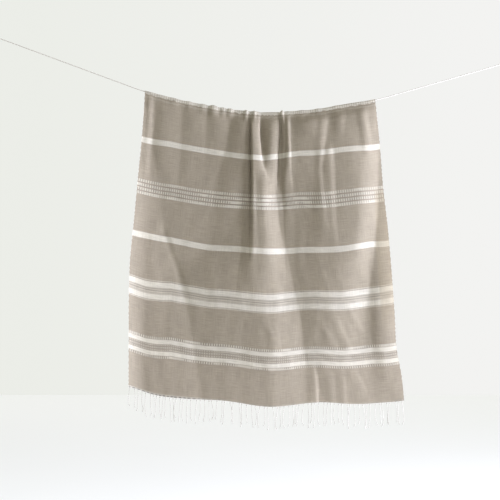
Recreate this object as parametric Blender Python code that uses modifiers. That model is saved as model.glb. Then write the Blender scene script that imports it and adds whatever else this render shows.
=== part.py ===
"""Bath towel hung over a taut line, which is tied to a wall eye at each end.

Metres, +Z up.  X runs along the line, from the left wall eye (0) to the right one, and -Y is the front.
The towel hangs over the line a little past half its length.  Its front and back layers, the gather at the
middle and the folds below it are worked out from the tables here, a row for each section or fold.
"""
import math

import bmesh
import bpy
import numpy as np
from mathutils import Matrix

# ---- Line and wall eyes
LINE_RADIUS = 0.0015
TUBE_SIDES_LEVEL = 2
LINE_STATIONS = 72
SEAT_GAP = 0.0003
WALL_SPAN = 1.7024
RING_REACH = 0.0192
# (distance from the left wall, height above the left eye): straight to the towel, then sagging under it
LINE_ROUTE = (
    (0.0192, 0.0000), (0.1500, -0.0481), (0.3000, -0.1033), (0.4300, -0.1512), (0.5000, -0.1765),
    (0.5500, -0.1908), (0.6240, -0.2099), (0.7264, -0.2307), (0.8192, -0.2451), (0.9090, -0.2515),
    (0.9856, -0.2483), (1.0624, -0.2419), (1.1648, -0.2243), (1.2300, -0.2135), (1.2800, -0.2014),
    (1.3600, -0.1788), (1.5000, -0.1386), (1.6832, -0.0861),
)
PLATE_RADIUS = 0.019
PLATE_THICKNESS = 0.004
PLATE_SIDES = 32
NECK_RADIUS = 0.0024
NECK_SIDES = 12
RING_RADIUS = 0.0075
RING_WIRE_RADIUS = 0.0018
RING_SEGMENTS = 24
RING_WIRE_SEGMENTS = 8
# The knot: a loop through the ring, and the turns that close it (distances from the middle of the ring).
LOOP_RADIUS = RING_WIRE_RADIUS + LINE_RADIUS + 0.0005
LOOP_BEND_POINTS = 9
LOOP_CLOSED_HALF = 0.0014
KNOT_START = 0.0165
KNOT_TURNS = 3
KNOT_TURN_PITCH = 2 * LINE_RADIUS
KNOT_CORE_RADIUS = 0.0030
KNOT_TURN_RADIUS = 0.0044
KNOT_POINTS_PER_TURN = 4

# ---- Cloth
CLOTH_WIDTH = 0.914
CLOTH_THICKNESS = 0.0015
LOW_POINT = 0.909
WRAP_RADIUS = LINE_RADIUS + 0.0005 + CLOTH_THICKNESS / 2
LAYER_HALF_GAP = 0.009
BACK_DROP = 0.82
COLUMNS = 60
FRONT_ROWS = 20
WRAP_ROWS = 4
BACK_ROWS = 10
GATHER_CENTRE = 0.42
GATHER_DENSITY = 2.2
GATHER_REACH = 0.16
GATHER_SAMPLES = 2001

# Where each lengthwise thread hangs: across the cloth, at the line, at the front hem, at the back hem
# (the last three measured from the low point of the line), and how far it drops in front.
THREADS = (
    # across,  line,   front foot, back foot, front drop
    (0.000, -0.3936, -0.4700, -0.3360, 0.934),
    (0.070, -0.3236, -0.4000, -0.2760, 0.947),
    (0.200, -0.1980, -0.2720, -0.1700, 0.936),
    (0.327, -0.0736, -0.1440, -0.0620, 0.921),
    (0.457, 0.0000, -0.0060, 0.0300, 0.935),
    (0.651, 0.0800, 0.1820, 0.1280, 0.926),
    (0.800, 0.2280, 0.3260, 0.2500, 0.949),
    (0.914, 0.3424, 0.4352, 0.3550, 0.960),
)
# How far the cloth has opened from its width at the line to its width at the hem, at each drop.
OPENING = (
    # drop, left side, right side
    (0.00, 0.00, 0.00),
    (0.14, 0.19, 0.15),
    (0.28, 0.45, 0.27),
    (0.41, 0.68, 0.43),
    (0.54, 0.93, 0.55),
    (0.68, 1.00, 0.66),
    (0.80, 1.00, 0.74),
    (0.88, 1.00, 0.90),
    (0.97, 1.00, 1.00),
)
# The front layer's left edge curls forward: the width of the curl, its full turn, and the drops over which
# it turns.
CURL_WIDTH = 0.070
CURL_TURN = math.radians(88)
CURL_START = 0.04
CURL_FULL = 0.50

# Folds: the shape of each one's left and right side (0.5 a half ellipse, 1 a parabola, 2 a bell), then its
# stations from the top down.  A station gives the drop, the place of the crest (from the low point of the
# line), how far the fold reaches to the left and to the right of it, and how far it stands out.
FRONT_FOLDS = (
    ("edge pipe", 1.0, 1.0, (0.00, -0.382, 0.012, 0.016, 0.0040), (0.20, -0.380, 0.014, 0.016, 0.0035),
     (0.42, -0.392, 0.020, 0.016, 0.0)),
    ("second pipe", 1.5, 1.0, (0.00, -0.308, 0.046, 0.032, 0.0035), (0.16, -0.318, 0.046, 0.036, 0.0025),
     (0.34, -0.345, 0.046, 0.044, 0.0)),
    ("third pipe", 1.5, 1.0, (0.00, -0.232, 0.040, 0.034, 0.0035), (0.14, -0.240, 0.040, 0.040, 0.0020),
     (0.30, -0.255, 0.040, 0.050, 0.0)),
    ("fourth pipe", 1.5, 1.0, (0.00, -0.158, 0.036, 0.030, 0.0040), (0.10, -0.165, 0.036, 0.036, 0.0025),
     (0.24, -0.175, 0.036, 0.050, 0.0)),
    ("gather rib", 1.0, 1.0, (0.00, -0.082, 0.018, 0.018, 0.0070), (0.10, -0.086, 0.024, 0.022, 0.0060),
     (0.24, -0.100, 0.030, 0.030, 0.0)),
    ("left tube", 0.9, 0.8, (0.00, -0.050, 0.014, 0.026, 0.0180), (0.12, -0.046, 0.016, 0.030, 0.0220),
     (0.17, -0.043, 0.018, 0.032, 0.0240), (0.25, -0.038, 0.022, 0.050, 0.0)),
    ("right tube", 0.9, 0.8, (0.00, 0.010, 0.024, 0.030, 0.0160), (0.12, 0.008, 0.024, 0.034, 0.0200),
     (0.17, 0.006, 0.020, 0.036, 0.0180), (0.25, -0.006, 0.030, 0.040, 0.0)),
    ("last tube", 1.0, 1.0, (0.00, 0.054, 0.014, 0.024, 0.0130), (0.16, 0.058, 0.016, 0.026, 0.0090),
     (0.34, 0.064, 0.024, 0.034, 0.0)),
    ("fan", 0.9, 2.0, (0.14, -0.038, 0.020, 0.050, 0.0), (0.22, -0.036, 0.022, 0.062, 0.0240),
     (0.33, -0.036, 0.024, 0.088, 0.0270), (0.48, -0.036, 0.028, 0.112, 0.0270),
     (0.66, -0.030, 0.040, 0.136, 0.0)),
    ("fan skirt", 2.0, 1.3, (0.40, -0.030, 0.100, 0.120, 0.0), (0.66, -0.014, 0.150, 0.130, 0.0230),
     (0.84, 0.010, 0.170, 0.140, 0.0130), (0.97, 0.020, 0.180, 0.150, 0.0080)),
    ("left sweep", 1.5, 1.5, (0.14, -0.440, 0.090, 0.140, 0.0), (0.46, -0.440, 0.090, 0.160, 0.0100),
     (0.72, -0.430, 0.090, 0.220, 0.0150), (0.97, -0.420, 0.090, 0.280, 0.0150)),
    ("right swell", 2.0, 1.0, (0.00, 0.128, 0.054, 0.074, 0.0090), (0.16, 0.130, 0.054, 0.060, 0.0060),
     (0.33, 0.140, 0.060, 0.056, 0.0030), (0.56, 0.150, 0.080, 0.060, 0.0)),
    ("right rib", 1.5, 1.0, (0.00, 0.221, 0.019, 0.032, 0.0030), (0.16, 0.206, 0.026, 0.028, 0.0045),
     (0.33, 0.200, 0.030, 0.028, 0.0030), (0.50, 0.190, 0.030, 0.028, 0.0)),
    ("right edge swell", 2.0, 1.4, (0.00, 0.270, 0.120, 0.100, 0.0150), (0.20, 0.262, 0.170, 0.104, 0.0180),
     (0.44, 0.230, 0.190, 0.116, 0.0200), (0.68, 0.195, 0.190, 0.132, 0.0190),
     (0.86, 0.205, 0.190, 0.140, 0.0080), (0.97, 0.210, 0.190, 0.150, 0.0060)),
)
BACK_FOLDS = (
    ("back left pipe", 1.5, 1.5, (0.00, -0.250, 0.060, 0.070, 0.004), (0.85, -0.215, 0.080, 0.080, 0.030)),
    ("back gather left", 1.2, 1.2, (0.00, -0.045, 0.040, 0.040, 0.014), (0.30, -0.055, 0.050, 0.050, 0.030),
     (0.85, -0.070, 0.070, 0.070, 0.034)),
    ("back gather right", 1.2, 1.2, (0.00, 0.045, 0.040, 0.040, 0.014), (0.30, 0.055, 0.060, 0.060, 0.028),
     (0.85, 0.080, 0.080, 0.080, 0.030)),
    ("back right pipe", 1.5, 1.5, (0.00, 0.220, 0.070, 0.060, 0.004), (0.85, 0.240, 0.080, 0.080, 0.026)),
)
LINE_LIFT = 0.45
TROUGH_FLOOR = -0.006
GAP_OPENS_OVER = 0.12
FOLD_OPENS_OVER = 0.03
FRONT_FOOT = 2
BACK_FOOT = 3

# ---- Fringes: strands below a narrow strip at each hem
FRONT_STRANDS = 64
BACK_STRANDS = 48
FRINGE_GAP = 0.0005
STRIP_HEIGHT = 0.003
STRAND_WIDTH = 0.0018
ROOT_AREA_LIMIT = 1.5 * STRAND_WIDTH * CLOTH_THICKNESS
ROOT_FACES_DOWN = -0.7
STRAND_STEP = 0.038
STRAND_STEPS = 2
STRAND_TAPER = 0.82
STRAND_LEAN = 0.0020
STRAND_LEAN_WAVE = 701.0
STRAND_SWAY_WAVE = 523.0

# ---- Colours: name, base colour, roughness, metallic
TAUPE_COTTON = ("taupe cotton", (0.36, 0.31, 0.25, 1.0), 0.9, 0.0)
CREAM_COTTON = ("cream cotton", (0.80, 0.76, 0.68, 1.0), 0.9, 0.0)
CREAM_CORD = ("cream cord", (0.78, 0.74, 0.66, 1.0), 0.8, 0.0)
SATIN_STEEL = ("satin steel", (0.62, 0.62, 0.60, 1.0), 0.35, 1.0)

OBJECT_NAME = "bath_towel_on_line"
WELD_DISTANCE = 1e-6


def smooth(t):
    """0 below 0, 1 above 1, and an even S between."""
    t = np.clip(t, 0.0, 1.0)
    return t * t * (3.0 - 2.0 * t)


def through(table, column, at):
    """Smooth curve through the rows of a table: the first column against the named one."""
    knots = np.array([row[0] for row in table], dtype=float)
    values = np.array([row[column] for row in table], dtype=float)
    slopes = np.gradient(values, knots)
    at = np.clip(at, knots[0], knots[-1])
    k = np.clip(np.searchsorted(knots, at, side="right") - 1, 0, len(knots) - 2)
    step = knots[k + 1] - knots[k]
    t = (at - knots[k]) / step
    u = 1.0 - t
    ends = (1.0 + 2.0 * t) * u * u * values[k] + (1.0 + 2.0 * u) * t * t * values[k + 1]
    return ends + t * u * step * (u * slopes[k] - t * slopes[k + 1])


def line_height(x):
    return through(LINE_ROUTE, 1, x)


def fold_relief(folds, x, drop):
    """How far the folds stand out of the layer at a point, x from the low point of the line."""
    relief = np.zeros_like(x)
    for _name, left_shape, right_shape, *stations in folds:
        for upper, lower in zip(stations, stations[1:]):
            way = (drop - upper[0]) / (lower[0] - upper[0])
            inside = (way >= 0.0) & (way < 1.0)
            crest, left, right = (upper[i] + (lower[i] - upper[i]) * way for i in (1, 2, 3))
            out = upper[4] + (lower[4] - upper[4]) * smooth(way)
            on_left = x < crest
            across = (x - crest) / np.where(on_left, left, right)
            rise = np.clip(1.0 - across * across, 0.0, 1.0) ** np.where(on_left, left_shape, right_shape)
            relief += np.where(inside, out * rise, 0.0)
    return relief


def half_gap(drop):
    """Half the space between the layers, from the bend over the line downwards."""
    return WRAP_RADIUS + (LAYER_HALF_GAP - WRAP_RADIUS) * smooth(drop / GAP_OPENS_OVER)


def hang_across(across, drop, foot_column):
    """Where threads hang at a drop, from the low point of the line, before any curl."""
    at_line = through(THREADS, 1, across)
    at_foot = through(THREADS, foot_column, across)
    side = across / CLOTH_WIDTH
    opened = (1.0 - side) * through(OPENING, 1, drop) + side * through(OPENING, 2, drop)
    return at_line + (at_foot - at_line) * opened


def lift_over_line(across):
    """How far the gathers stand off the line where the cloth bends over it."""
    x = through(THREADS, 1, across)
    return LINE_LIFT * np.maximum(fold_relief(FRONT_FOLDS, x, np.zeros_like(x)), 0.0)


def layer_depth(folds, across, x, drop):
    """Distance of a layer from the plane of the line: its gap, and the folds standing out of it."""
    lift = lift_over_line(across)
    relief = np.maximum(fold_relief(folds, x, drop), TROUGH_FLOOR)
    return half_gap(drop) + lift + (relief - lift) * smooth(drop / FOLD_OPENS_OVER)


def front_layer(across, share):
    """Points of the front layer at a share of its drop, 0 at the line and 1 at the hem."""
    drop = share * through(THREADS, 4, across)
    turn = CURL_TURN * smooth((drop - CURL_START) / (CURL_FULL - CURL_START)) + 1e-6
    curled = np.maximum(CURL_WIDTH - across, 0.0)
    radius = CURL_WIDTH / turn
    x = hang_across(np.maximum(across, CURL_WIDTH), drop, FRONT_FOOT) - radius * np.sin(curled / radius)
    y = -radius * (1.0 - np.cos(curled / radius)) - layer_depth(FRONT_FOLDS, across, x, drop)
    z = line_height(LOW_POINT + through(THREADS, 1, across)) - drop
    return np.stack([LOW_POINT + x, y, z], axis=-1)


def over_line(across, turn):
    """Points of the bend over the line, at an angle from the front (0) to the back (pi)."""
    x = LOW_POINT + through(THREADS, 1, across)
    radius = WRAP_RADIUS + lift_over_line(across)
    return np.stack([x, -radius * math.cos(turn), line_height(x) + radius * math.sin(turn)], axis=-1)


def back_layer(across, share):
    """Points of the back layer at a share of its drop."""
    drop = share * BACK_DROP * np.ones_like(across)
    x = hang_across(across, drop, BACK_FOOT)
    y = layer_depth(BACK_FOLDS, across, x, drop)
    z = line_height(LOW_POINT + through(THREADS, 1, across)) - drop
    return np.stack([LOW_POINT + x, y, z], axis=-1)


def column_places(columns):
    """Places across the cloth for the mesh's columns, closer together in the gather."""
    fine = np.linspace(0.0, CLOTH_WIDTH, GATHER_SAMPLES)
    density = 1.0 + GATHER_DENSITY * np.exp(-((fine - GATHER_CENTRE) / GATHER_REACH) ** 2)
    filled = np.concatenate([[0.0], np.cumsum((density[1:] + density[:-1]) / 2.0)])
    return np.interp(np.linspace(0.0, filled[-1], columns + 1), filled, fine)


def sheet_rows(across, front_rows, wrap_rows, back_rows):
    """Rows of points down the whole towel, from the front hem over the line to the back hem."""
    rows = [front_layer(across, 1.0 - i / front_rows) for i in range(front_rows + 1)]
    rows += [over_line(across, math.pi * i / wrap_rows) for i in range(1, wrap_rows)]
    rows += [back_layer(across, i / back_rows) for i in range(back_rows + 1)]
    return np.array(rows)


# ---- Pieces
def clear_scene():
    for obj in list(bpy.data.objects):
        bpy.data.objects.remove(obj, do_unlink=True)


def own_collection(name):
    collection = bpy.data.collections.new(name)
    bpy.context.scene.collection.children.link(collection)
    return collection


def material(name, colour, roughness, metallic):
    made = bpy.data.materials.get(name) or bpy.data.materials.new(name)
    made.use_nodes = True
    shader = made.node_tree.nodes["Principled BSDF"]
    shader.inputs["Base Color"].default_value = colour
    shader.inputs["Roughness"].default_value = roughness
    shader.inputs["Metallic"].default_value = metallic
    made.diffuse_color = colour
    return made


def piece(name, mesh, collection, finish):
    obj = bpy.data.objects.new(name, mesh)
    collection.objects.link(obj)
    mesh.name = name
    mesh.materials.clear()
    mesh.materials.append(material(*finish))
    return obj


def mesh_of(obj):
    """The mesh an object shows with its modifiers or its tube, as a mesh of its own."""
    bpy.context.view_layer.update()
    seen = obj.evaluated_get(bpy.context.evaluated_depsgraph_get())
    mesh = bpy.data.meshes.new_from_object(seen)
    work = bmesh.new()
    work.from_mesh(mesh)
    bmesh.ops.remove_doubles(work, verts=work.verts, dist=WELD_DISTANCE)
    bmesh.ops.recalc_face_normals(work, faces=work.faces)
    work.to_mesh(mesh)
    work.free()
    return mesh


def placed_grid(name, rows, collection, finish):
    """A grid laid on rows of points, one row for each line of the array."""
    row_count, column_count, _xyz = rows.shape
    work = bmesh.new()
    bmesh.ops.create_grid(work, x_segments=column_count - 1, y_segments=row_count - 1, size=1.0)
    work.verts.ensure_lookup_table()
    for vertex, point in zip(work.verts, rows.reshape(-1, 3)):
        vertex.co = point
    mesh = bpy.data.meshes.new(name)
    work.to_mesh(mesh)
    work.free()
    return piece(name, mesh, collection, finish)


def thicken(obj, thickness):
    solidify = obj.modifiers.new("thickness", "SOLIDIFY")
    solidify.thickness = thickness
    solidify.offset = 0.0


def tube(name, points, radii, collection, finish):
    """A round tube through points, as a curve with a radius at each."""
    data = bpy.data.curves.new(name, "CURVE")
    data.dimensions = "3D"
    data.bevel_depth = 1.0
    data.bevel_resolution = TUBE_SIDES_LEVEL
    data.use_fill_caps = True
    spline = data.splines.new("POLY")
    spline.points.add(len(points) - 1)
    for spot, point, radius in zip(spline.points, points, radii):
        spot.co = (*point, 1.0)
        spot.radius = radius
    obj = bpy.data.objects.new(name, data)
    collection.objects.link(obj)
    data.materials.append(material(*finish))
    return obj


def joined(name, parts, collection, finish):
    """One solid from overlapping ones: the first piece united with each of the others."""
    whole = parts[0]
    for other in parts[1:]:
        union = whole.modifiers.new("union", "BOOLEAN")
        union.operation = "UNION"
        union.solver = "EXACT"
        union.object = other
    mesh = mesh_of(whole)
    for part in parts:
        bpy.data.objects.remove(part, do_unlink=True)
    return piece(name, mesh, collection, finish)


def towel(collection):
    rows = sheet_rows(column_places(COLUMNS), FRONT_ROWS, WRAP_ROWS, BACK_ROWS)
    cloth = placed_grid("towel", rows, collection, TAUPE_COTTON)
    thicken(cloth, CLOTH_THICKNESS)
    return cloth


def strand_places(strands):
    """Places across the cloth of a fringe strip's columns: a narrow one for each strand, wide ones between."""
    pitch = CLOTH_WIDTH / strands
    centres = (np.arange(strands) + 0.5) * pitch
    sides = np.stack([centres - STRAND_WIDTH / 2.0, centres + STRAND_WIDTH / 2.0], axis=-1)
    return np.concatenate([[0.0], sides.ravel(), [CLOTH_WIDTH]])


def draw_out_strands(work):
    """Draw the narrow bottom faces of a strip down into strands, each leaning and swaying its own way."""
    roots = [
        face for face in work.faces
        if face.normal.z < ROOT_FACES_DOWN and face.calc_area() < ROOT_AREA_LIMIT
    ]
    for step in range(STRAND_STEPS):
        ends = bmesh.ops.extrude_discrete_faces(work, faces=roots)["faces"]
        for face in ends:
            middle = face.calc_center_median()
            lean = STRAND_LEAN * math.sin(middle.x * STRAND_LEAN_WAVE)
            sway = STRAND_LEAN * math.sin(middle.x * STRAND_SWAY_WAVE) / 2.0
            for vertex in face.verts:
                vertex.co = middle + (vertex.co - middle) * STRAND_TAPER
                vertex.co.x += lean
                vertex.co.y += sway
                vertex.co.z -= STRAND_STEP
        roots = ends


def fringe(name, layer, strands, collection):
    """A comb of strands below a hem: the strip they are fused into lies just under the cloth's edge."""
    hem = layer(strand_places(strands), 1.0)
    hem[:, 2] -= FRINGE_GAP
    foot = hem - np.array([0.0, 0.0, STRIP_HEIGHT])
    strip = placed_grid(name, np.array([hem, foot]), collection, CREAM_COTTON)
    thicken(strip, CLOTH_THICKNESS)
    mesh = mesh_of(strip)
    bpy.data.objects.remove(strip, do_unlink=True)
    work = bmesh.new()
    work.from_mesh(mesh)
    draw_out_strands(work)
    work.to_mesh(mesh)
    work.free()
    return piece(name, mesh, collection, CREAM_COTTON)


def route_point(x):
    return np.array([x, 0.0, float(line_height(x))])


def ring_place(side):
    """Middle of a ring and the way the line leaves it, for the left (-1) or right (1) wall eye."""
    x = RING_REACH if side < 0 else WALL_SPAN - RING_REACH
    middle = route_point(x)
    ahead = route_point(x - side * (KNOT_START + KNOT_TURNS * KNOT_TURN_PITCH)) - middle
    return middle, ahead / np.linalg.norm(ahead)


def line_end(side):
    """Where the line leaves its knot."""
    middle, ahead = ring_place(side)
    reach = KNOT_START + KNOT_TURNS * KNOT_TURN_PITCH + SEAT_GAP
    return (middle + ahead * reach)[0]


def line(collection):
    places = np.linspace(line_end(-1), line_end(1), LINE_STATIONS)
    points = [route_point(x) for x in places]
    return tube("line", points, [LINE_RADIUS] * LINE_STATIONS, collection, CREAM_CORD)


def knot(name, side, collection):
    """A loop round the ring's bar and the turns that close it, lying along the line."""
    middle, ahead = ring_place(side)
    front = np.array([0.0, -1.0, 0.0])

    def at(along, forward):
        return middle + ahead * along + front * forward

    bends = [math.pi / 2 + math.pi * i / (LOOP_BEND_POINTS - 1) for i in range(LOOP_BEND_POINTS)]
    bend = [(RING_RADIUS + LOOP_RADIUS * math.cos(a), LOOP_RADIUS * math.sin(a)) for a in bends]
    closed = KNOT_START + KNOT_TURN_PITCH
    path = [(closed, LOOP_CLOSED_HALF), *bend, (closed, -LOOP_CLOSED_HALF)]
    loop = tube("loop", [at(*spot) for spot in path], [LINE_RADIUS] * len(path), collection, CREAM_CORD)

    steps = KNOT_TURNS * KNOT_POINTS_PER_TURN
    along = [KNOT_START + KNOT_TURN_PITCH * i / KNOT_POINTS_PER_TURN for i in range(steps + 1)]
    swell = [abs(math.sin(math.pi * i / KNOT_POINTS_PER_TURN)) for i in range(steps + 1)]
    radii = [KNOT_CORE_RADIUS + (KNOT_TURN_RADIUS - KNOT_CORE_RADIUS) * amount for amount in swell]
    turns = tube("turns", [at(place, 0.0) for place in along], radii, collection, CREAM_CORD)

    parts = []
    for rough in (turns, loop):
        parts.append(piece(rough.name + " solid", mesh_of(rough), collection, CREAM_CORD))
        bpy.data.objects.remove(rough, do_unlink=True)
    return joined(name, parts, collection, CREAM_CORD)


def lying_cylinder(name, start, length, radius, sides, collection):
    """A cylinder along X from its start."""
    work = bmesh.new()
    bmesh.ops.create_cone(work, cap_ends=True, segments=sides, radius1=radius, radius2=radius, depth=length)
    turn = Matrix.Rotation(math.pi / 2, 4, "Y")
    bmesh.ops.transform(work, matrix=turn, verts=work.verts)
    bmesh.ops.translate(work, vec=(start[0] + length / 2.0, start[1], start[2]), verts=work.verts)
    mesh = bpy.data.meshes.new(name)
    work.to_mesh(mesh)
    work.free()
    return piece(name, mesh, collection, SATIN_STEEL)


def wall_eye(name, side, collection):
    """A round plate on the wall with a ring on a short neck; the ring lies in the plane of the line."""
    middle, _ahead = ring_place(side)
    _x, _y, height = middle
    neck_length = RING_REACH - RING_RADIUS
    wall = 0.0 if side < 0 else WALL_SPAN
    plate_start = wall if side < 0 else wall - PLATE_THICKNESS
    neck_start = wall if side < 0 else wall - neck_length
    inset = PLATE_THICKNESS / 2.0
    neck_start += inset if side < 0 else 0.0
    plate = lying_cylinder("plate", (plate_start, 0.0, height), PLATE_THICKNESS, PLATE_RADIUS, PLATE_SIDES,
                           collection)
    neck = lying_cylinder("neck", (neck_start, 0.0, height), neck_length - inset, NECK_RADIUS, NECK_SIDES,
                          collection)
    bpy.ops.mesh.primitive_torus_add(
        major_segments=RING_SEGMENTS, minor_segments=RING_WIRE_SEGMENTS, major_radius=RING_RADIUS,
        minor_radius=RING_WIRE_RADIUS, location=tuple(middle), rotation=(math.pi / 2, 0.0, 0.0))
    ring = bpy.context.object
    for holder in list(ring.users_collection):
        holder.objects.unlink(ring)
    collection.objects.link(ring)
    return joined(name, [plate, neck, ring], collection, SATIN_STEEL)


def build():
    clear_scene()
    collection = own_collection(OBJECT_NAME)
    towel(collection)
    fringe("fringe_front", front_layer, FRONT_STRANDS, collection)
    fringe("fringe_back", back_layer, BACK_STRANDS, collection)
    line(collection)
    knot("knot_left", -1, collection)
    knot("knot_right", 1, collection)
    wall_eye("wall_eye_left", -1, collection)
    wall_eye("wall_eye_right", 1, collection)


build()
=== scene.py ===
"""Bath towel hung over a taut line: the looks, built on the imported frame.

Metres, +Z up.  X runs along the line, and -Y is the towel's front.  The drape is worked out from tables of
sections and folds, the pattern from a table of woven stripes.
"""

import math

import bmesh
import bpy
import numpy as np
from bpy.props import FloatProperty, FloatVectorProperty, IntProperty, PointerProperty
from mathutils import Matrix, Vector


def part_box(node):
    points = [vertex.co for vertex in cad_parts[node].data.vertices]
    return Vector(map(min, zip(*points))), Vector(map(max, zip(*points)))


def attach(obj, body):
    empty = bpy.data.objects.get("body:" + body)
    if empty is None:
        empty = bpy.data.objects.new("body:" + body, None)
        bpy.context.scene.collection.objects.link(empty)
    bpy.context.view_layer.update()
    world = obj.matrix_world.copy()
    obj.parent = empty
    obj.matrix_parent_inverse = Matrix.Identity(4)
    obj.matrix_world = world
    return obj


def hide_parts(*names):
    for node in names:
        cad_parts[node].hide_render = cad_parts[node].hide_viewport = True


bl_info = {
    "name": "Bath towel on a line",
    "version": (1, 0, 0),
    "blender": (4, 5, 0),
    "location": "View3D > Sidebar > Towel",
    "description": "A fringed flat-woven towel hung over a line between two wall eyes",
    "category": "Object",
}

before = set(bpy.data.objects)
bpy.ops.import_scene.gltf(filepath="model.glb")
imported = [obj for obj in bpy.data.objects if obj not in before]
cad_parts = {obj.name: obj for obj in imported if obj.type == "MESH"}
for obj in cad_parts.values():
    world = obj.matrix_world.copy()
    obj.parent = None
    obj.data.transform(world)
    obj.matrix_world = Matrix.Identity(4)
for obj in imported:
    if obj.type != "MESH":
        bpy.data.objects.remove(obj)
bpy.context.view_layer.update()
MILLIMETRES = 1000.0
QUARTER_TURN = math.pi / 2
SCATTER_STEPS = (12.9898, 78.233, 43758.5453)

# ---- The line: its route (distance from the left wall, height above the left eye) and its fittings
LINE_ROUTE = (
    (0.0192, 0.0), (0.15, -0.0481), (0.3, -0.1033), (0.43, -0.1512), (0.5, -0.1765), (0.55, -0.1908),
    (0.624, -0.2099), (0.7264, -0.2307), (0.8192, -0.2451), (0.909, -0.2515), (0.9856, -0.2483),
    (1.0624, -0.2419), (1.1648, -0.2243), (1.23, -0.2135), (1.28, -0.2014), (1.36, -0.1788), (1.5, -0.1386),
    (1.6832, -0.0861),
)
LINE_RADIUS = 0.0015
RING_REACH = 0.0192
RING_RADIUS = 0.0075
RING_WIRE_RADIUS = 0.0018
KNOT_START = 0.0165
KNOT_LENGTH = 0.009
PLATE_RADIUS = 0.019
PLATE_THICKNESS = 0.004

# ---- The cloth, as it hangs
CLOTH_WIDTH = 0.914
FRONT_LENGTH = 0.936
BACK_DROP = 0.82
CLOTH_LENGTH = FRONT_LENGTH + BACK_DROP
LOW_POINT = 0.909
WRAP_CLEARANCE = 0.00125
WRAP_RADIUS = LINE_RADIUS + WRAP_CLEARANCE
LAYER_HALF_GAP = 0.009
GATHER_CENTRE = 0.40
GATHER_DENSITY = 1.4
GATHER_REACH = 0.14
GATHER_SAMPLES = 2001
WRAP_ROWS = 8
BORDER_THICKNESS = 0.3
CREASE_ANGLE = math.radians(60)

# Where each lengthwise thread hangs: across the cloth, at the line, at the front hem, at the back hem
# (the last three measured from the low point of the line), and how far it drops in front.
THREADS = (
    (0.0, -0.3936, -0.4405, -0.336, 0.939),
    (0.07, -0.3236, -0.3785, -0.276, 0.944),
    (0.2, -0.198, -0.272, -0.17, 0.933),
    (0.327, -0.0736, -0.144, -0.062, 0.921),
    (0.457, 0.0, -0.006, 0.03, 0.935),
    (0.651, 0.08, 0.182, 0.128, 0.926),
    (0.8, 0.228, 0.326, 0.25, 0.949),
    (0.914, 0.3424, 0.4352, 0.355, 0.96),
)
# How far the cloth has opened from its width at the line to its width at the hem: drop, left and right side
OPENING = (
    (0.0, 0.0, 0.0), (0.14, 0.19, 0.15), (0.28, 0.45, 0.27), (0.41, 0.68, 0.43), (0.54, 0.93, 0.55),
    (0.68, 1.0, 0.66), (0.8, 1.0, 0.74), (0.88, 1.0, 0.9), (0.97, 1.0, 1.0),
)
CURL_WIDTH = 0.055
LEAST_CURL = 1e-6
# How far the left edge curls towards the front: drop, and the turn in degrees.
CURL_TURNS = ((0.00, 0.0), (0.03, 12.0), (0.15, 25.0), (0.30, 27.0), (0.50, 33.0), (0.97, 37.0))
# How far the weft lies below its level: drop, then millimetres at each of these places from the low point.
WEFT_PLACES = (-0.43, -0.39, -0.31, -0.19, -0.02, 0.10, 0.23, 0.33, 0.375)
WEFT_SAG = (
    (0.000, 0, 0, 0, 0, 0, 0, 0, 0, 0),
    (0.146, 7, 6, -2, -4, -1, -13, -10, -2, 0),
    (0.285, 14, 11, 4, 2, 0, -3, -2, 2, 4),
    (0.446, 4, 0, -6, 0, -4, -2, -1, -4, 1),
    (0.600, 2, 3, -8, 0, -3, -4, -3, -6, -6),
    (0.780, 1, 1, -10, -1, -2, -1, 1, -2, 0),
    (0.960, 0, 0, 0, 0, 0, 0, 0, 0, 0),
)

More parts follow.
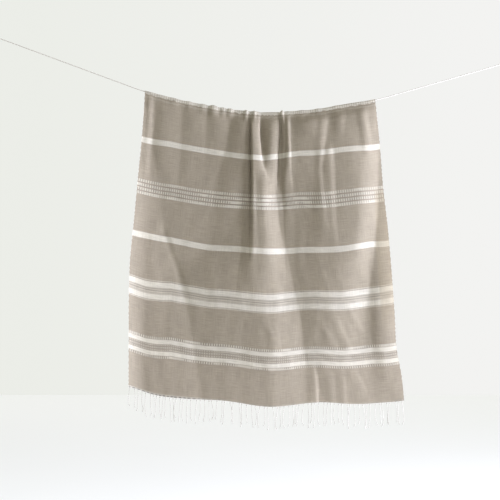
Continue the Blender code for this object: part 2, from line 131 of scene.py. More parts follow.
# Folds: the shape of each one's left and right side (0.5 a half ellipse, 1 a parabola, 2 a bell), then its
# stations from the top down.  A station gives, in millimetres, the drop, the place of the crest (from the
# low point of the line), how far the fold reaches to the left and to the right, and how far it stands out.
FRONT_FOLDS = (
    ("edge pipe", 1.2, 1.0, (0, -376, 13, 9, 3.4), (100, -379, 13, 9, 3.6), (200, -387, 14, 10, 2.8),
     (300, -393, 14, 10, 0)),
    ("second pipe", 1.5, 1.0, (0, -326, 34, 48, 2.8), (160, -342, 32, 62, 4.2), (340, -355, 40, 60, 0)),
    ("third pipe", 1.5, 1.0, (0, -232, 40, 34, 2.6), (140, -240, 40, 40, 2), (300, -255, 40, 50, 0)),
    ("fourth pipe", 1.5, 1.0, (0, -158, 36, 30, 4), (100, -165, 36, 36, 2.5), (240, -175, 36, 50, 0)),
    ("gather rib", 1.5, 0.6, (0, -72, 40, 18, 8), (70, -78, 50, 22, 9), (170, -88, 64, 32, 8.8),
     (260, -98, 76, 42, 7.2), (360, -110, 80, 55, 4.5), (500, -125, 80, 65, 0)),
    ("left tube", 0.5, 0.35, (0, -50, 6, 24.5, 14), (70, -50, 6, 24.5, 16.5), (120, -50, 6, 28, 13.5),
     (165, -49, 6, 31.5, 8), (200, -48, 6, 45, 3), (225, -48, 6, 60, 0)),
    ("right tube", 1.0, 0.6, (0, 14, 34, 24, 10.5), (70, 14, 31, 23, 13.2), (120, 12, 24, 22.5, 10),
     (165, 11, 22, 20, 2.5), (190, 11, 20, 20, 0)),
    ("last tube", 0.8, 0.7, (0, 52, 9, 18, 12), (100, 53, 10, 18, 8.5), (190, 54, 12, 20, 4.5),
     (280, 57, 20, 26, 0)),
    ("upper fan", 0.4, 0.3, (60, -47, 6, 76.5, 0), (110, -47, 6, 77, 5), (170, -47, 6, 77, 13.5),
     (205, -47, 6, 75, 10), (260, -47, 6, 76, 0)),
    ("fan", 0.4, 1.3, (150, -47, 6, 66, 0), (205, -47, 6, 73, 9.5), (260, -47, 7, 73, 20),
     (340, -47, 10, 81, 18), (420, -47, 12, 98, 6), (480, -47, 12, 110, 0)),
    ("lower fan", 1.4, 1.3, (280, -42, 40, 72, 0), (360, -42, 42, 80, 5), (440, -42, 46, 100, 10.5),
     (520, -40, 60, 114, 5.5), (620, -40, 70, 120, 0)),
    ("fan shoulder", 2.5, 1.5, (165, -6, 38, 30, 0), (230, -6, 38, 33, 5), (360, -1, 42, 38, 6),
     (460, 2, 46, 50, 4), (540, 4, 50, 60, 0)),
    ("fan skirt", 1.6, 1.3, (340, -45, 80, 94, 0), (440, -45, 150, 106, 10.5), (540, -34, 280, 114, 20.5),
     (660, -16, 380, 122, 21.5), (760, -6, 400, 124, 20), (840, 0, 400, 124, 16.5), (970, 4, 400, 124, 14)),
    ("skirt ridge", 2.0, 1.3, (580, 12, 110, 88, 0), (660, 12, 110, 90, 3.6), (760, 14, 110, 95, 4),
     (860, 16, 110, 95, 2.4), (970, 16, 110, 90, 2)),
    ("left sweep", 1.5, 1.0, (140, -440, 90, 60, 0), (300, -440, 90, 100, 6), (360, -446, 90, 104, 8),
     (460, -460, 90, 136, 12), (530, -470, 90, 176, 15.5), (680, -480, 90, 230, 19),
     (800, -480, 90, 250, 17.2), (970, -480, 90, 280, 16)),
    ("right panel", 0.7, 0.8, (0, 74, 18, 276, 9), (120, 74, 18, 286, 13), (220, 74, 30, 294, 7),
     (360, 104, 52, 280, 3.5), (480, 110, 54, 280, 3), (600, 110, 50, 280, 0)),
    ("right swell", 2.0, 1.0, (160, 130, 56, 60, 0), (220, 130, 56, 60, 2), (330, 140, 60, 56, 2),
     (560, 150, 80, 60, 0)),
    ("right edge swell", 2.0, 1.2, (0, 270, 150, 80, 7), (100, 280, 150, 72, 11), (200, 288, 160, 64, 16),
     (360, 280, 210, 70, 19.5), (460, 262, 200, 78, 19), (530, 228, 170, 106, 16.5),
     (660, 195, 160, 116, 16), (740, 195, 160, 116, 11), (860, 200, 170, 125, 6), (970, 210, 180, 140, 4)),
    ("right edge roll", 1.5, 1.3, (300, 360, 42, 62, 0), (460, 360, 40, 54, 2.8), (600, 361, 38, 56, 6),
     (720, 363, 38, 58, 7.2), (800, 372, 40, 60, 4.6), (900, 382, 50, 80, 2), (970, 390, 50, 80, 0)),
)
# Creases: narrow soft ridges on top of the folds, in the same columns.
FRONT_CREASES = (
    ("fan edge", 1.0, 1.0, (180, -49, 2, 10, 0), (220, -49, 2, 10, 0.8), (360, -49, 3, 12, 0.9),
     (460, -49, 4, 16, 0)),
    ("short ridge", 1.0, 1.0, (0, 128, 50, 26, 4), (40, 130, 50, 26, 3.4), (100, 130, 40, 21, 0)),
    ("ridge to the right", 1.5, 1.0, (0, 168, 90, 26, 6.6), (60, 164, 90, 26, 7.6), (120, 162, 86, 17, 5.6),
     (190, 159, 84, 12, 4.6), (260, 165, 84, 12, 3.6), (340, 176, 60, 12, 1.4), (400, 184, 50, 12, 0)),
    ("ridge to the left", 1.5, 1.0, (100, 186, 40, 16, 0), (150, 191, 45, 18, 5), (240, 193, 50, 20, 5.2),
     (360, 196, 60, 20, 3.4), (460, 200, 60, 30, 0)),
    ("thin ridge", 1.0, 1.0, (0, 228, 20, 18, 2.6), (50, 226, 20, 18, 2.4), (120, 222, 20, 18, 0)),
    ("edge ridge", 1.0, 1.0, (0, 299, 20, 14, 3.4), (50, 304, 20, 14, 3.4), (110, 314, 20, 14, 3),
     (200, 322, 20, 12, 0)),
    ("left crease", 1.0, 1.0, (380, -350, 14, 10, 0), (440, -322, 14, 10, -1.2), (520, -290, 14, 11, -1.5),
     (600, -262, 16, 12, -0.7), (660, -246, 16, 12, 0)),
    ("first slant", 1.0, 1.0, (650, 160, 18, 9, 0), (690, 178, 18, 9, 0.8), (750, 212, 18, 9, 1),
     (790, 232, 16, 9, 0)),
    ("second slant", 1.0, 1.0, (640, 204, 22, 10, 0), (680, 222, 22, 10, 1.2), (750, 252, 22, 10, 1.4),
     (790, 272, 18, 10, 0)),
    ("third slant", 1.0, 1.0, (610, 246, 18, 10, 0), (650, 262, 18, 10, 1), (700, 290, 18, 10, 1.2),
     (740, 306, 16, 10, 0)),
    ("skirt slant", 1.0, 1.0, (660, -10, 16, 12, 0), (700, 8, 16, 12, 1), (750, 26, 16, 12, 0)),
    ("skirt stroke", 1.0, 1.0, (660, 16, 40, 14, 0), (720, 28, 40, 12, 1.2), (790, 34, 40, 14, 0)),
    ("hem stroke", 1.8, 0.8, (800, 138, 80, 8, 0), (840, 148, 90, 9, 3.2), (900, 151, 90, 9, 4.2),
     (970, 153, 90, 9, 4.2)),
    ("hem slant", 1.2, 1.0, (800, 262, 26, 16, 0), (850, 276, 26, 16, 1.4), (920, 306, 26, 16, 1),
     (960, 324, 20, 16, 0)),
    ("hem rise", 1.2, 1.0, (800, 232, 20, 9, 0), (880, 239, 22, 9, 1.5), (970, 242, 22, 9, 1.3)),
    ("hem rise on the left", 1.2, 1.0, (810, 190, 20, 12, 0), (860, 200, 22, 12, 1.2),
     (970, 202, 22, 12, 1)),
)
# Small pleats that only show at the line, in millimetres: place, half width, how far out, where they end
PUCKERS = (
    (-300, 14, 2, 30), (-252, 10, 2.5, 26), (-206, 12, 3.5, 34), (-174, 14, 6.5, 40), (-143, 8, 3, 30),
    (-120, 11, 4.5, 34), (-70, 7, 5, 40), (-43, 6, 4, 40), (44, 6, 9, 48), (106, 14, 2, 30),
    (158, 11, 2.4, 24), (214, 9, 1.8, 24),
)
BACK_FOLDS = (
    ("back left pipe", 1.5, 1.5, (0, -250, 60, 70, 4), (850, -215, 80, 80, 30)),
    ("back gather left", 1.2, 1.2, (0, -45, 40, 40, 14), (300, -55, 50, 50, 30), (850, -70, 70, 70, 34)),
    ("back gather right", 1.2, 1.2, (0, 45, 40, 40, 14), (300, 55, 60, 60, 14), (850, 80, 80, 80, 18)),
    ("back right pipe", 1.5, 1.5, (0, 220, 70, 60, 4), (850, 240, 80, 80, 26)),
)
LINE_LIFT = 0.12
PUCKER_LIFT = 0.6
TROUGH_FLOOR = -0.006
GAP_OPENS_OVER = 0.16
FOLD_OPENS_OVER = 0.038
FRONT_FOOT = 2
BACK_FOOT = 3
PUCKER_FOLDS = tuple(
    ("pucker", 1.0, 1.0, (0, place, reach, reach, out), (end, place, 1.6 * reach, 1.6 * reach, 0))
    for place, reach, out, end in PUCKERS
)
# Unevenness of the hanging cloth: wave lengths across and down, and height, of each slow ripple.
RIPPLES = ((0.067, 0.37, 0.00022), (0.041, 0.23, 0.00010), (0.019, 0.11, 0.00003))
RIPPLE_BEND = 1.7
RIPPLE_SHIFT = 2.3
EDGE_RIPPLE = 0.0007
EDGE_RIPPLE_LENGTH = 0.011
EDGE_RIPPLE_REACH = 0.012
EDGE_RIPPLE_DRIFT = (3.0, 37.0)

# ---- The woven pattern, from each end's hem: place, width, how pale, and how strongly it is ticked
STRIPES = (
    ("first band", 0.79, 0.017, 1.0, 0.0),
    ("row 1", 0.668, 0.0085, 0.8, 0.65),
    ("row 2", 0.655, 0.0085, 0.85, 0.75),
    ("row 3", 0.642, 0.0085, 0.85, 0.8),
    ("row 4", 0.629, 0.009, 0.9, 0.55),
    ("second band", 0.49, 0.0185, 1.0, 0.0),
    ("third band upper line", 0.3573, 0.003, 0.5, 0.0),
    ("third band upper", 0.3452, 0.0165, 1.0, 0.0),
    ("third band middle", 0.3264, 0.022, 0.5, 0.0),
    ("third band lower", 0.307, 0.0162, 1.0, 0.0),
    ("third band lower line", 0.2958, 0.003, 0.55, 0.0),
    ("fourth band upper ticks", 0.1765, 0.0072, 0.72, 0.9),
    ("fourth band upper", 0.1647, 0.0135, 1.0, 0.0),
    ("fourth band middle", 0.1465, 0.02, 0.5, 0.6),
    ("fourth band lower", 0.1282, 0.013, 1.0, 0.0),
    ("fourth band lower ticks", 0.1168, 0.0068, 0.66, 0.9),
)
DARK_ROWS = (
    ("between rows 1 and 2", 0.6615, 0.0026, 0.45, 0.5),
    ("between rows 2 and 3", 0.6485, 0.0026, 0.5, 0.5),
    ("between rows 3 and 4", 0.6355, 0.0026, 0.45, 0.5),
    ("third band line 1", 0.3336, 0.0022, 0.6, 0.0),
    ("third band line 2", 0.327, 0.0022, 0.8, 0.0),
    ("third band line 3", 0.3196, 0.002, 0.4, 0.0),
    ("fourth band row 1", 0.151, 0.0032, 0.7, 1.0),
    ("fourth band row 2", 0.143, 0.0032, 0.7, 1.0),
)
# The fold's own rows, measured below the line; the top row is partly a painted highlight on the bend over
# the line
FOLD_PALE = (("top row with painted highlight", 0.0002, 0.0125, 1.0, 0.4), ("under row", 0.0140, 0.0050, 0.20, 0.0))
FOLD_DARK = (("row between", 0.0092, 0.0030, 0.12, 0.4),)
# ---- How the materials look
THREAD = 0.0012
CLOTH_ROUGHNESS = 0.92
ROW_WANDER = 0.006
ROW_WANDER_SCALE = 5.0
FOLD_WANDER = 0.010
FOLD_WANDER_SCALE = 70.0
TICK_LENGTH = 0.0074
TICK_EDGE = 0.1
TICK_PATCHES = (14.0, 30.0, 1.0)
TICKS_KEPT = (0.37, 0.50)
GAP_SHADE = 0.62
DARK_ROW_SHADE = 0.62
HEM_DASH_HEIGHT = 0.0028
HEM_DASH_LENGTH = 0.0155
HEM_DASH_EDGES = (-0.7, 0.3)
HEM_DASH_COLOUR = (0.080, 0.066, 0.052)
HEM_ROW_HEIGHT = 0.0060
HEM_FADES_OVER = (0.20, 0.36)
HEM_STRENGTHS = (0.75, 0.15)
HEM_WOBBLE = 4.0
HEM_WOBBLE_SCALE = 110.0
# The strip along one selvedge where a single layer hangs, made warmer with painted see-through light, and
# where it starts and ends along the cloth
STRIP_WIDTH = 0.048
STRIP_EDGE = 0.006
STRIP_STARTS = (0.20, 0.32)
STRIP_ENDS = (0.650, 0.670)
STRIP_NARROWS_ABOVE = 0.48
STRIP_NARROWING = 0.09
STRIP_PICKS = (10.0, 330.0, 1.0)
PAINTED_GLOW_SHADE = (0.250, 0.200, 0.120)
PAINTED_GLOW_COLOUR = (0.480, 0.410, 0.290)
PAINTED_GLOW_STRENGTH = 0.55
EDGE_THREAD = 0.0002
# The left outermost thread is painted pale: painted light on the left rim, which faces away from the lamp.
LEFT_RIM_PAINTED_LIGHT = (0.85, 0.82, 0.76)
RIGHT_THREAD_SHADE = 0.35
# Slubs, the thicker stretches of the weft and then of the warp: their scales, and how much each counts
SLUBS = (((24.0, 620.0, 1.0), 0.6), ((640.0, 18.0, 1.0), 0.4))
SLUB_ROUGHNESS = 0.65
SLUB_CONTRAST = 1.9
CLOUD_SCALE = 14.0
CLOUD_CONTRAST = 0.16
# The strength and the distance of the weave's bump, and how much higher the stripes stand
WEAVE_BUMP = (0.35, 0.0006)
STRIPE_RISE = 0.5
# How much of the light goes through the weave, and its colour in the ground and in the stripes
SEE_THROUGH = 0.42
SEE_THROUGH_COLOUR = (0.535, 0.482, 0.500)
SEE_THROUGH_STRIPE = (0.960, 0.920, 0.850)
SEE_THROUGH_EVENNESS = 0.70
YARN_ROUGHNESS = 0.88
YARN_BUMP = (0.3, 0.0002)
YARN_SHADOW = 0.55
YARN_SHADE = 0.78
GROOVE_SHADE = 0.14
FIBRE_SHADE = 0.16
FIBRES_ROUND = 9.0
FIBRES_ALONG = 420.0
STEEL_ROUGHNESS = 0.18
TURNING_MARKS = (5400.0, 900.0, 900.0)
MARKS_ROUGHNESS = 0.10
SMUDGE_SCALE = 60.0
SMUDGE_ROUGHNESS = 0.22
SMUDGE_SHADE = 0.82

# ---- Plied cotton: how a strand, the line and a knot are twisted
STRAND_PLY = {"sides": 6, "lobes": 2, "lobe_depth": 0.22, "twist_length": 0.0068}
LINE_PLY = {"sides": 12, "lobes": 3, "lobe_depth": 0.04, "twist_length": 0.011}
KNOT_PLY = {"sides": 10, "lobes": 3, "lobe_depth": 0.10, "twist_length": 0.011}
LINE_STATIONS = 760
DECLARED_POINTS = 160
TUBE_SPACING = 0.0011
FINE_STEPS = 12

# ---- The fringe
FRINGE_GAP = 0.0005
FRINGE_KNOT_DROP = 0.004
FRINGE_KNOT_HALF = 0.0016
FRINGE_KNOT_SWELLING = 0.9
STRAND_SPACING = 0.0021
STRAND_CORE = 0.85
STRAND_FRAY = 0.35
STRAND_FRAYS_FROM = 0.8
STRAND_UNEVEN_PITCH = 0.28
STRAND_REACH = (0.86, 0.12)
# How far a strand leans, bows, sways and curls at its end, and its way down: the share of the lean, the
# bow, the sway and the length at each point
STRAND_WANDERS = (0.006, 0.004, 0.003, 0.004)
STRAND_WAY = ((0.35, 0.6, 0.3, 0.30), (0.65, 1.0, 0.6, 0.60), (1.0, 0.5, 0.9, 0.86))

# ---- The knots: points along the line from the knot's start and towards the front, then the coil
LOOP_CLEARANCE = 0.0005
LOOP_IN = ((0.009, 0.0), (0.005, 0.001), (-0.003, 0.0024))
LOOP_OUT = ((-0.003, -0.0024), (0.005, -0.0012), (0.007, -0.001))
LOOP_BEND_POINTS = 9
COIL_START = 0.0008
COIL_PITCH = 0.0026
COIL_TURNS = 3
COIL_POINTS = 40
COIL_HALF_DEPTH = 0.0036
COIL_HALF_HEIGHT = 0.003
KNOT_TAIL = ((0.010, 0.0052, 0.002), (0.015, 0.0056, 0.006))

# ---- The wall eyes; each step of the plate's face is an inset and a rise
PLATE_BASE = 0.6
PLATE_STEPS = ((0.16, 0.4), (0.50, 0.0), (0.06, 0.35))
NECK_RADIUS = 0.0024
NECK_SEAT = 0.001
SCREWS = 3
SCREW_CIRCLE = 0.0125
SCREW_RADIUS = 0.0024
SCREW_FLATNESS = 0.45
SCREW_SEAT = 0.0002
SLOT_SIZE = (0.001, 0.0007, 0.006)
FIRST_SLOT_TURN = 0.5
EDGE_BEVEL = 0.0004
EDGE_ANGLE = math.radians(35)

# ---- The stage
FLOOR_HEIGHT = -1.90
FLOOR_FAR_EDGE = 6.77
FLOOR_SIZE = 22.0
FLOOR_CLOUD_SCALE = 0.8
FLOOR_ROUGHNESS = 0.8
FLOOR_NEAR = ((0.85, 0.85, 0.84), (0.88, 0.88, 0.87))
FLOOR_FAR = (0.97, 0.97, 0.96)
FLOOR_TURNS_PALE = (0.31, 0.50)
KEY_POWER = 420.0
KEY_COLOUR = (0.96, 1.01, 1.24)
KEY_SIZE = (1.6, 1.8)
KEY_DISTANCE = 3.6
KEY_TURN = math.radians(78)
KEY_DROP = 0.1
SURROUNDINGS_SPREAD = 0.16
SURROUNDINGS_FALL = (0.935, 0.950, 0.915)
HALF_VIEW = 0.8
VIEW_DISTANCE = 4.2
VIEW_CENTRE = (0.8512, -0.6883)
SENSOR = 36.0


def count_setting(name, description, default, low, high):
    return IntProperty(name=name, description=description, default=default, min=low, max=high)


def length_setting(name, description, default, low, high):
    return FloatProperty(
        name=name, description=description, default=default, min=low, max=high, subtype="DISTANCE",
        unit="LENGTH")


def colour_setting(name, description, default):
    return FloatVectorProperty(
        name=name, description=description, default=default, size=3, min=0.0, max=1.0, subtype="COLOR")


class TowelSizes(bpy.types.PropertyGroup):
    """Sizes that a user would change."""

    cloth_thickness: length_setting("Cloth thickness", "Thickness of the cloth", 0.0007, 0.0004, 0.003)
    columns: count_setting("Columns", "Mesh columns across the cloth", 230, 60, 300)
    front_rows: count_setting("Front rows", "Mesh rows down the front layer", 150, 40, 200)
    back_rows: count_setting("Back rows", "Mesh rows down the back layer", 44, 20, 120)
    front_strands: count_setting("Front strands", "Knotted bundles in the front fringe", 70, 20, 150)
    back_strands: count_setting("Back strands", "Knotted bundles in the back fringe", 70, 20, 150)
    strand_length: length_setting("Strand length", "Length of the longest bundles", 0.082, 0.02, 0.2)
    strand_radius: length_setting("Strand radius", "Radius of a twisted bundle", 0.001, 0.0003, 0.003)


class TowelColours(bpy.types.PropertyGroup):
    """Colours that a user would change."""

    ground: colour_setting("Ground", "Colour of the plain weave", (0.340, 0.292, 0.215))
    stripe: colour_setting("Stripe", "Colour of the pale stripes", (0.548, 0.515, 0.437))
    fringe: colour_setting("Fringe", "Colour of the fringe", (0.405, 0.382, 0.335))
    cord: colour_setting("Line", "Colour of the line", (0.47, 0.44, 0.39))
    steel: colour_setting("Steel", "Colour of the wall eyes", (0.60, 0.60, 0.59))
    surroundings: colour_setting(
        "Surroundings", "Colour of the floor and of the light all round", (0.895, 0.895, 0.880))


def sizes():
    return bpy.context.scene.towel_sizes


def colours():
    return bpy.context.scene.towel_colours


# ---- The drape
def smooth(t):
    """0 below 0, 1 above 1, and an even S between."""
    t = np.clip(t, 0.0, 1.0)
    return t * t * (3.0 - 2.0 * t)


def through(table, column, at):
    """Smooth curve through the rows of a table: the first column against the named one."""
    knots = np.array([row[0] for row in table], dtype=float)
    values = np.array([row[column] for row in table], dtype=float)
    slopes = np.gradient(values, knots)
    at = np.clip(at, knots[0], knots[-1])
    k = np.clip(np.searchsorted(knots, at, side="right") - 1, 0, len(knots) - 2)
    step = knots[k + 1] - knots[k]
    t = (at - knots[k]) / step
    u = 1.0 - t
    ends = (1.0 + 2.0 * t) * u * u * values[k] + (1.0 + 2.0 * u) * t * t * values[k + 1]
    return ends + t * u * step * (u * slopes[k] - t * slopes[k + 1])


def line_height(x):
    return through(LINE_ROUTE, 1, x)


def fold_relief(folds, x, drop):
    """How far the folds stand out of the layer at a point, x from the low point of the line."""
    relief = np.zeros_like(x)
    for _name, left_shape, right_shape, *stations in folds:
        stations = np.array(stations) / MILLIMETRES
        for upper, lower in zip(stations, stations[1:]):
            way = (drop - upper[0]) / (lower[0] - upper[0])
            inside = (way >= 0.0) & (way < 1.0)
            crest, left, right = (upper[i] + (lower[i] - upper[i]) * way for i in (1, 2, 3))
            out = upper[4] + (lower[4] - upper[4]) * smooth(way)
            on_left = x < crest
            across = (x - crest) / np.where(on_left, left, right)
            rise = np.clip(1.0 - across * across, 0.0, 1.0) ** np.where(on_left, left_shape, right_shape)
            relief += np.where(inside, out * rise, 0.0)
    return relief


def ripple(across, drop):
    """Slight unevenness of the hanging cloth."""
    height = np.zeros_like(across)
    for index, (wide, long, out) in enumerate(RIPPLES):
        bend = RIPPLE_BEND * np.sin(2.0 * math.pi * drop / long + index)
        height += out * np.sin(2.0 * math.pi * across / wide + bend + RIPPLE_SHIFT * index)
    return height * smooth(drop / GAP_OPENS_OVER)


def half_gap(drop):
    """Half the space between the layers, from the bend over the line downwards."""
    return WRAP_RADIUS + (LAYER_HALF_GAP - WRAP_RADIUS) * smooth(drop / GAP_OPENS_OVER)


def hang_across(across, drop, foot_column):
    """Where threads hang at a drop, from the low point of the line, before any curl."""
    at_line = through(THREADS, 1, across)
    at_foot = through(THREADS, foot_column, across)
    side = across / CLOTH_WIDTH
    opened = (1.0 - side) * through(OPENING, 1, drop) + side * through(OPENING, 2, drop)
    return at_line + (at_foot - at_line) * opened


def lift_over_line(across):
    """How far the gathers stand off the line where the cloth bends over it."""
    x = through(THREADS, 1, across)
    at_line = np.zeros_like(x)
    folds = np.maximum(fold_relief(FRONT_FOLDS, x, at_line), 0.0)
    return LINE_LIFT * folds + PUCKER_LIFT * fold_relief(PUCKER_FOLDS, x, at_line)


def layer_depth(folds, across, x, drop):
    """Distance of a layer from the plane of the line: its gap, and the folds standing out of it."""
    lift = lift_over_line(across)
    relief = np.maximum(fold_relief(folds, x, drop), TROUGH_FLOOR)
    return half_gap(drop) + lift + (relief - lift) * smooth(drop / FOLD_OPENS_OVER) + ripple(across, drop)


def edge_ripple(across, drop):
    """Tiny pulls of the weft along the two long edges."""
    left, right = (smooth(1.0 - place / EDGE_RIPPLE_REACH) for place in (across, CLOTH_WIDTH - across))
    drift, rate = EDGE_RIPPLE_DRIFT
    wave = np.sin(2.0 * math.pi * drop / EDGE_RIPPLE_LENGTH + drift * np.sin(rate * drop))
    return EDGE_RIPPLE * (left - right) * wave


def front_layer(across, share):
    """Points of the front layer at a share of its drop, 0 at the line and 1 at the hem."""
    drop = share * through(THREADS, 4, across)
    turn = np.radians(through(CURL_TURNS, 1, drop)) + LEAST_CURL
    curled = np.maximum(CURL_WIDTH - across, 0.0)
    radius = CURL_WIDTH / turn
    x = hang_across(np.maximum(across, CURL_WIDTH), drop, FRONT_FOOT) - radius * np.sin(curled / radius)
    depth = layer_depth(FRONT_FOLDS + FRONT_CREASES + PUCKER_FOLDS, across, x, drop)
    y = -radius * (1.0 - np.cos(curled / radius)) - depth
    z = line_height(LOW_POINT + through(THREADS, 1, across)) - drop
    return np.stack([LOW_POINT + x + edge_ripple(across, drop), y, z], axis=-1)


def over_line(across, turn):
    """Points of the bend over the line, at an angle from the front (0) to the back (pi)."""
    x = LOW_POINT + through(THREADS, 1, across)
    radius = WRAP_RADIUS + lift_over_line(across)
    return np.stack([x, -radius * math.cos(turn), line_height(x) + radius * math.sin(turn)], axis=-1)


def back_layer(across, share):
    """Points of the back layer at a share of its drop."""
    drop = share * BACK_DROP * np.ones_like(across)
    x = hang_across(across, drop, BACK_FOOT)
    y = layer_depth(BACK_FOLDS, across, x, drop)
    z = line_height(LOW_POINT + through(THREADS, 1, across)) - drop
    return np.stack([LOW_POINT + x + edge_ripple(across, drop), y, z], axis=-1)


def column_places(columns):
    """Places across the cloth for the mesh's columns, closer together in the gather."""
    fine = np.linspace(0.0, CLOTH_WIDTH, GATHER_SAMPLES)
    density = 1.0 + GATHER_DENSITY * np.exp(-((fine - GATHER_CENTRE) / GATHER_REACH) ** 2)
    filled = np.concatenate([[0.0], np.cumsum((density[1:] + density[:-1]) / 2.0)])
    return np.interp(np.linspace(0.0, filled[-1], columns + 1), filled, fine)


def weft_sag(x, drop):
    """How far the weft has slipped down from level at a point, x from the low point of the line."""
    by_place = np.array([through(WEFT_SAG, 1 + column, drop) for column in range(len(WEFT_PLACES))])
    sag = [np.interp(place, WEFT_PLACES, values) for place, values in zip(x, by_place.T)]
    return np.array(sag) / MILLIMETRES


def sheet_rows(across, front_rows, back_rows):
    """Rows of points from the front hem over the line to the back hem, and their places along the cloth."""
    front = [1.0 - i / front_rows for i in range(front_rows + 1)]
    turns = [i / WRAP_ROWS for i in range(1, WRAP_ROWS)]
    back = [i / back_rows for i in range(back_rows + 1)]
    rows = [front_layer(across, share) for share in front]
    rows += [over_line(across, math.pi * turn) for turn in turns]
    rows += [back_layer(across, share) for share in back]
    wrap = math.pi * WRAP_RADIUS
    along = [FRONT_LENGTH * (1.0 - share) for share in front]
    along += [FRONT_LENGTH + wrap * (turn - 0.5) for turn in turns]
    along += [FRONT_LENGTH + BACK_DROP * share for share in back]
    rows = np.array(rows)
    along = np.array(along)[:, None] * np.ones((1, len(across)))
    for i, share in enumerate(front):
        drop = share * through(THREADS, 4, across)
        along[i] += weft_sag(rows[i, :, 0] - LOW_POINT, drop)
    return rows, along


# ---- Meshes
def select_only(obj):
    bpy.ops.object.select_all(action="DESELECT")
    obj.select_set(True)
    bpy.context.view_layer.objects.active = obj


def add_mesh(name, work):
    """An object in the scene from a finished bmesh."""
    mesh = bpy.data.meshes.new(name)
    work.to_mesh(mesh)
    work.free()
    obj = bpy.data.objects.new(name, mesh)
    bpy.context.scene.collection.objects.link(obj)
    return obj


def grid_object(name, rows, across, along):
    """A grid laid on rows of points, with a UV map in metres: across the cloth, and along it."""
    row_count, column_count, _xyz = rows.shape
    work = bmesh.new()
    bmesh.ops.create_grid(work, x_segments=column_count - 1, y_segments=row_count - 1, size=1.0)
    work.verts.ensure_lookup_table()
    for vertex, point in zip(work.verts, rows.reshape(-1, 3)):
        vertex.co = point
    obj = add_mesh(name, work)
    mesh = obj.data
    places = np.zeros((row_count, column_count, 2), dtype=np.float32)
    places[..., 0] = across[None, :]
    places[..., 1] = along
    corner_vertices = np.zeros(len(mesh.loops), dtype=np.int32)
    mesh.loops.foreach_get("vertex_index", corner_vertices)
    layer = mesh.uv_layers.new(name="weave")
    layer.data.foreach_set("uv", places.reshape(-1, 2)[corner_vertices].ravel())
    return obj


def border_points(rows, columns):
    """Indices of a grid's outermost points."""
    points = np.arange(rows * columns).reshape(rows, columns)
    return np.unique(np.concatenate([points[0], points[-1], points[:, 0], points[:, -1]])).tolist()


def apply_solidify(obj, thickness, border, border_share):
    """Give a sheet its thickness, thinner along its border."""
    select_only(obj)
    full = obj.vertex_groups.new(name="full thickness")
    full.add(list(range(len(obj.data.vertices))), 1.0, "REPLACE")
    full.add(border, border_share, "REPLACE")
    solidify = obj.modifiers.new("thickness", "SOLIDIFY")
    solidify.vertex_group = full.name
    solidify.thickness = thickness
    solidify.offset = 0.0
    bpy.ops.object.modifier_apply(modifier=solidify.name)


def run_along(points):
    """How far along a path each of its points is."""
    return np.concatenate([[0.0], np.cumsum(np.linalg.norm(np.diff(points, axis=0), axis=1))])


def smooth_path(points, spacing):
    """A smooth curve through points, resampled evenly."""
    points = np.array(points, dtype=float)
    reach = run_along(points)
    table = [(place, *point) for place, point in zip(reach, points)]
    fine = np.linspace(0.0, reach[-1], FINE_STEPS * len(points))
    curve = np.stack([through(table, column, fine) for column in (1, 2, 3)], axis=-1)
    run = run_along(curve)
    count = max(3, int(round(run[-1] / spacing)) + 1)
    even = np.linspace(0.0, run[-1], count)
    return np.stack([np.interp(even, run, curve[:, axis]) for axis in range(3)], axis=-1)


def carried_frames(path):
    """Unit directions across a path at each of its points, carried along it without turning about it."""
    ahead = np.gradient(path, axis=0)
    ahead /= np.linalg.norm(ahead, axis=1)[:, None]
    first = np.cross(ahead[0], [0.0, 1.0, 0.0])
    if np.linalg.norm(first) < 0.1:
        first = np.cross(ahead[0], [1.0, 0.0, 0.0])
    sideways = [first / np.linalg.norm(first)]
    for direction in ahead[1:]:
        carried = sideways[-1] - direction * np.dot(sideways[-1], direction)
        sideways.append(carried / np.linalg.norm(carried))
    sideways = np.array(sideways)
    return sideways, np.cross(ahead, sideways)


def twisted_tube(path, radii, ply, start_turn=0.0):
    """Rings of points of a plied cord along a path: a round section with lobes that turn as it goes."""
    sideways, other = (directions[:, None, :] for directions in carried_frames(path))
    reach = run_along(path)
    angles = 2.0 * math.pi * np.arange(ply["sides"]) / ply["sides"]
    turn = start_turn + 2.0 * math.pi * reach / ply["twist_length"]
    lobes = np.cos(ply["lobes"] * angles[None, :] - turn[:, None])
    radius = np.asarray(radii)[:, None] * (1.0 - ply["lobe_depth"] + ply["lobe_depth"] * lobes)
    ring = sideways * np.cos(angles)[None, :, None] + other * np.sin(angles)[None, :, None]
    return path[:, None, :] + ring * radius[:, :, None], reach


def add_tube(work, uv_layer, rings, reach):
    """Skin rings into a closed tube, with a UV of turn round it and distance along it."""
    stations, sides, _xyz = rings.shape
    grid = [[work.verts.new(point) for point in ring] for ring in rings]
    for i in range(stations - 1):
        for j in range(sides):
            k = (j + 1) % sides
            face = work.faces.new((grid[i][j], grid[i][k], grid[i + 1][k], grid[i + 1][j]))
            places = ((j, i), (j + 1, i), (j + 1, i + 1), (j, i + 1))
            for loop, (side, station) in zip(face.loops, places):
                loop[uv_layer].uv = (side / sides, reach[station])
    work.faces.new(list(reversed(grid[0])))
    work.faces.new(grid[-1])


def tubes_object(name, tubes):
    """One mesh from several tubes, each given as rings and the distance along it."""
    work = bmesh.new()
    uv_layer = work.loops.layers.uv.new("ply")
    for rings, reach in tubes:
        add_tube(work, uv_layer, rings, reach)
    bmesh.ops.recalc_face_normals(work, faces=work.faces)
    for face in work.faces:
        face.smooth = len(face.verts) == 4
    return add_mesh(name, work)


def finish_piece(obj, finish, slot, *nodes):
    """Give a piece its finish, hide the nodes that it stands for, and let it ride on the one body."""
    obj.data.materials.clear()
    obj.data.materials.append(finish)
    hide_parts(*nodes)
    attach(obj, "root")
    return obj


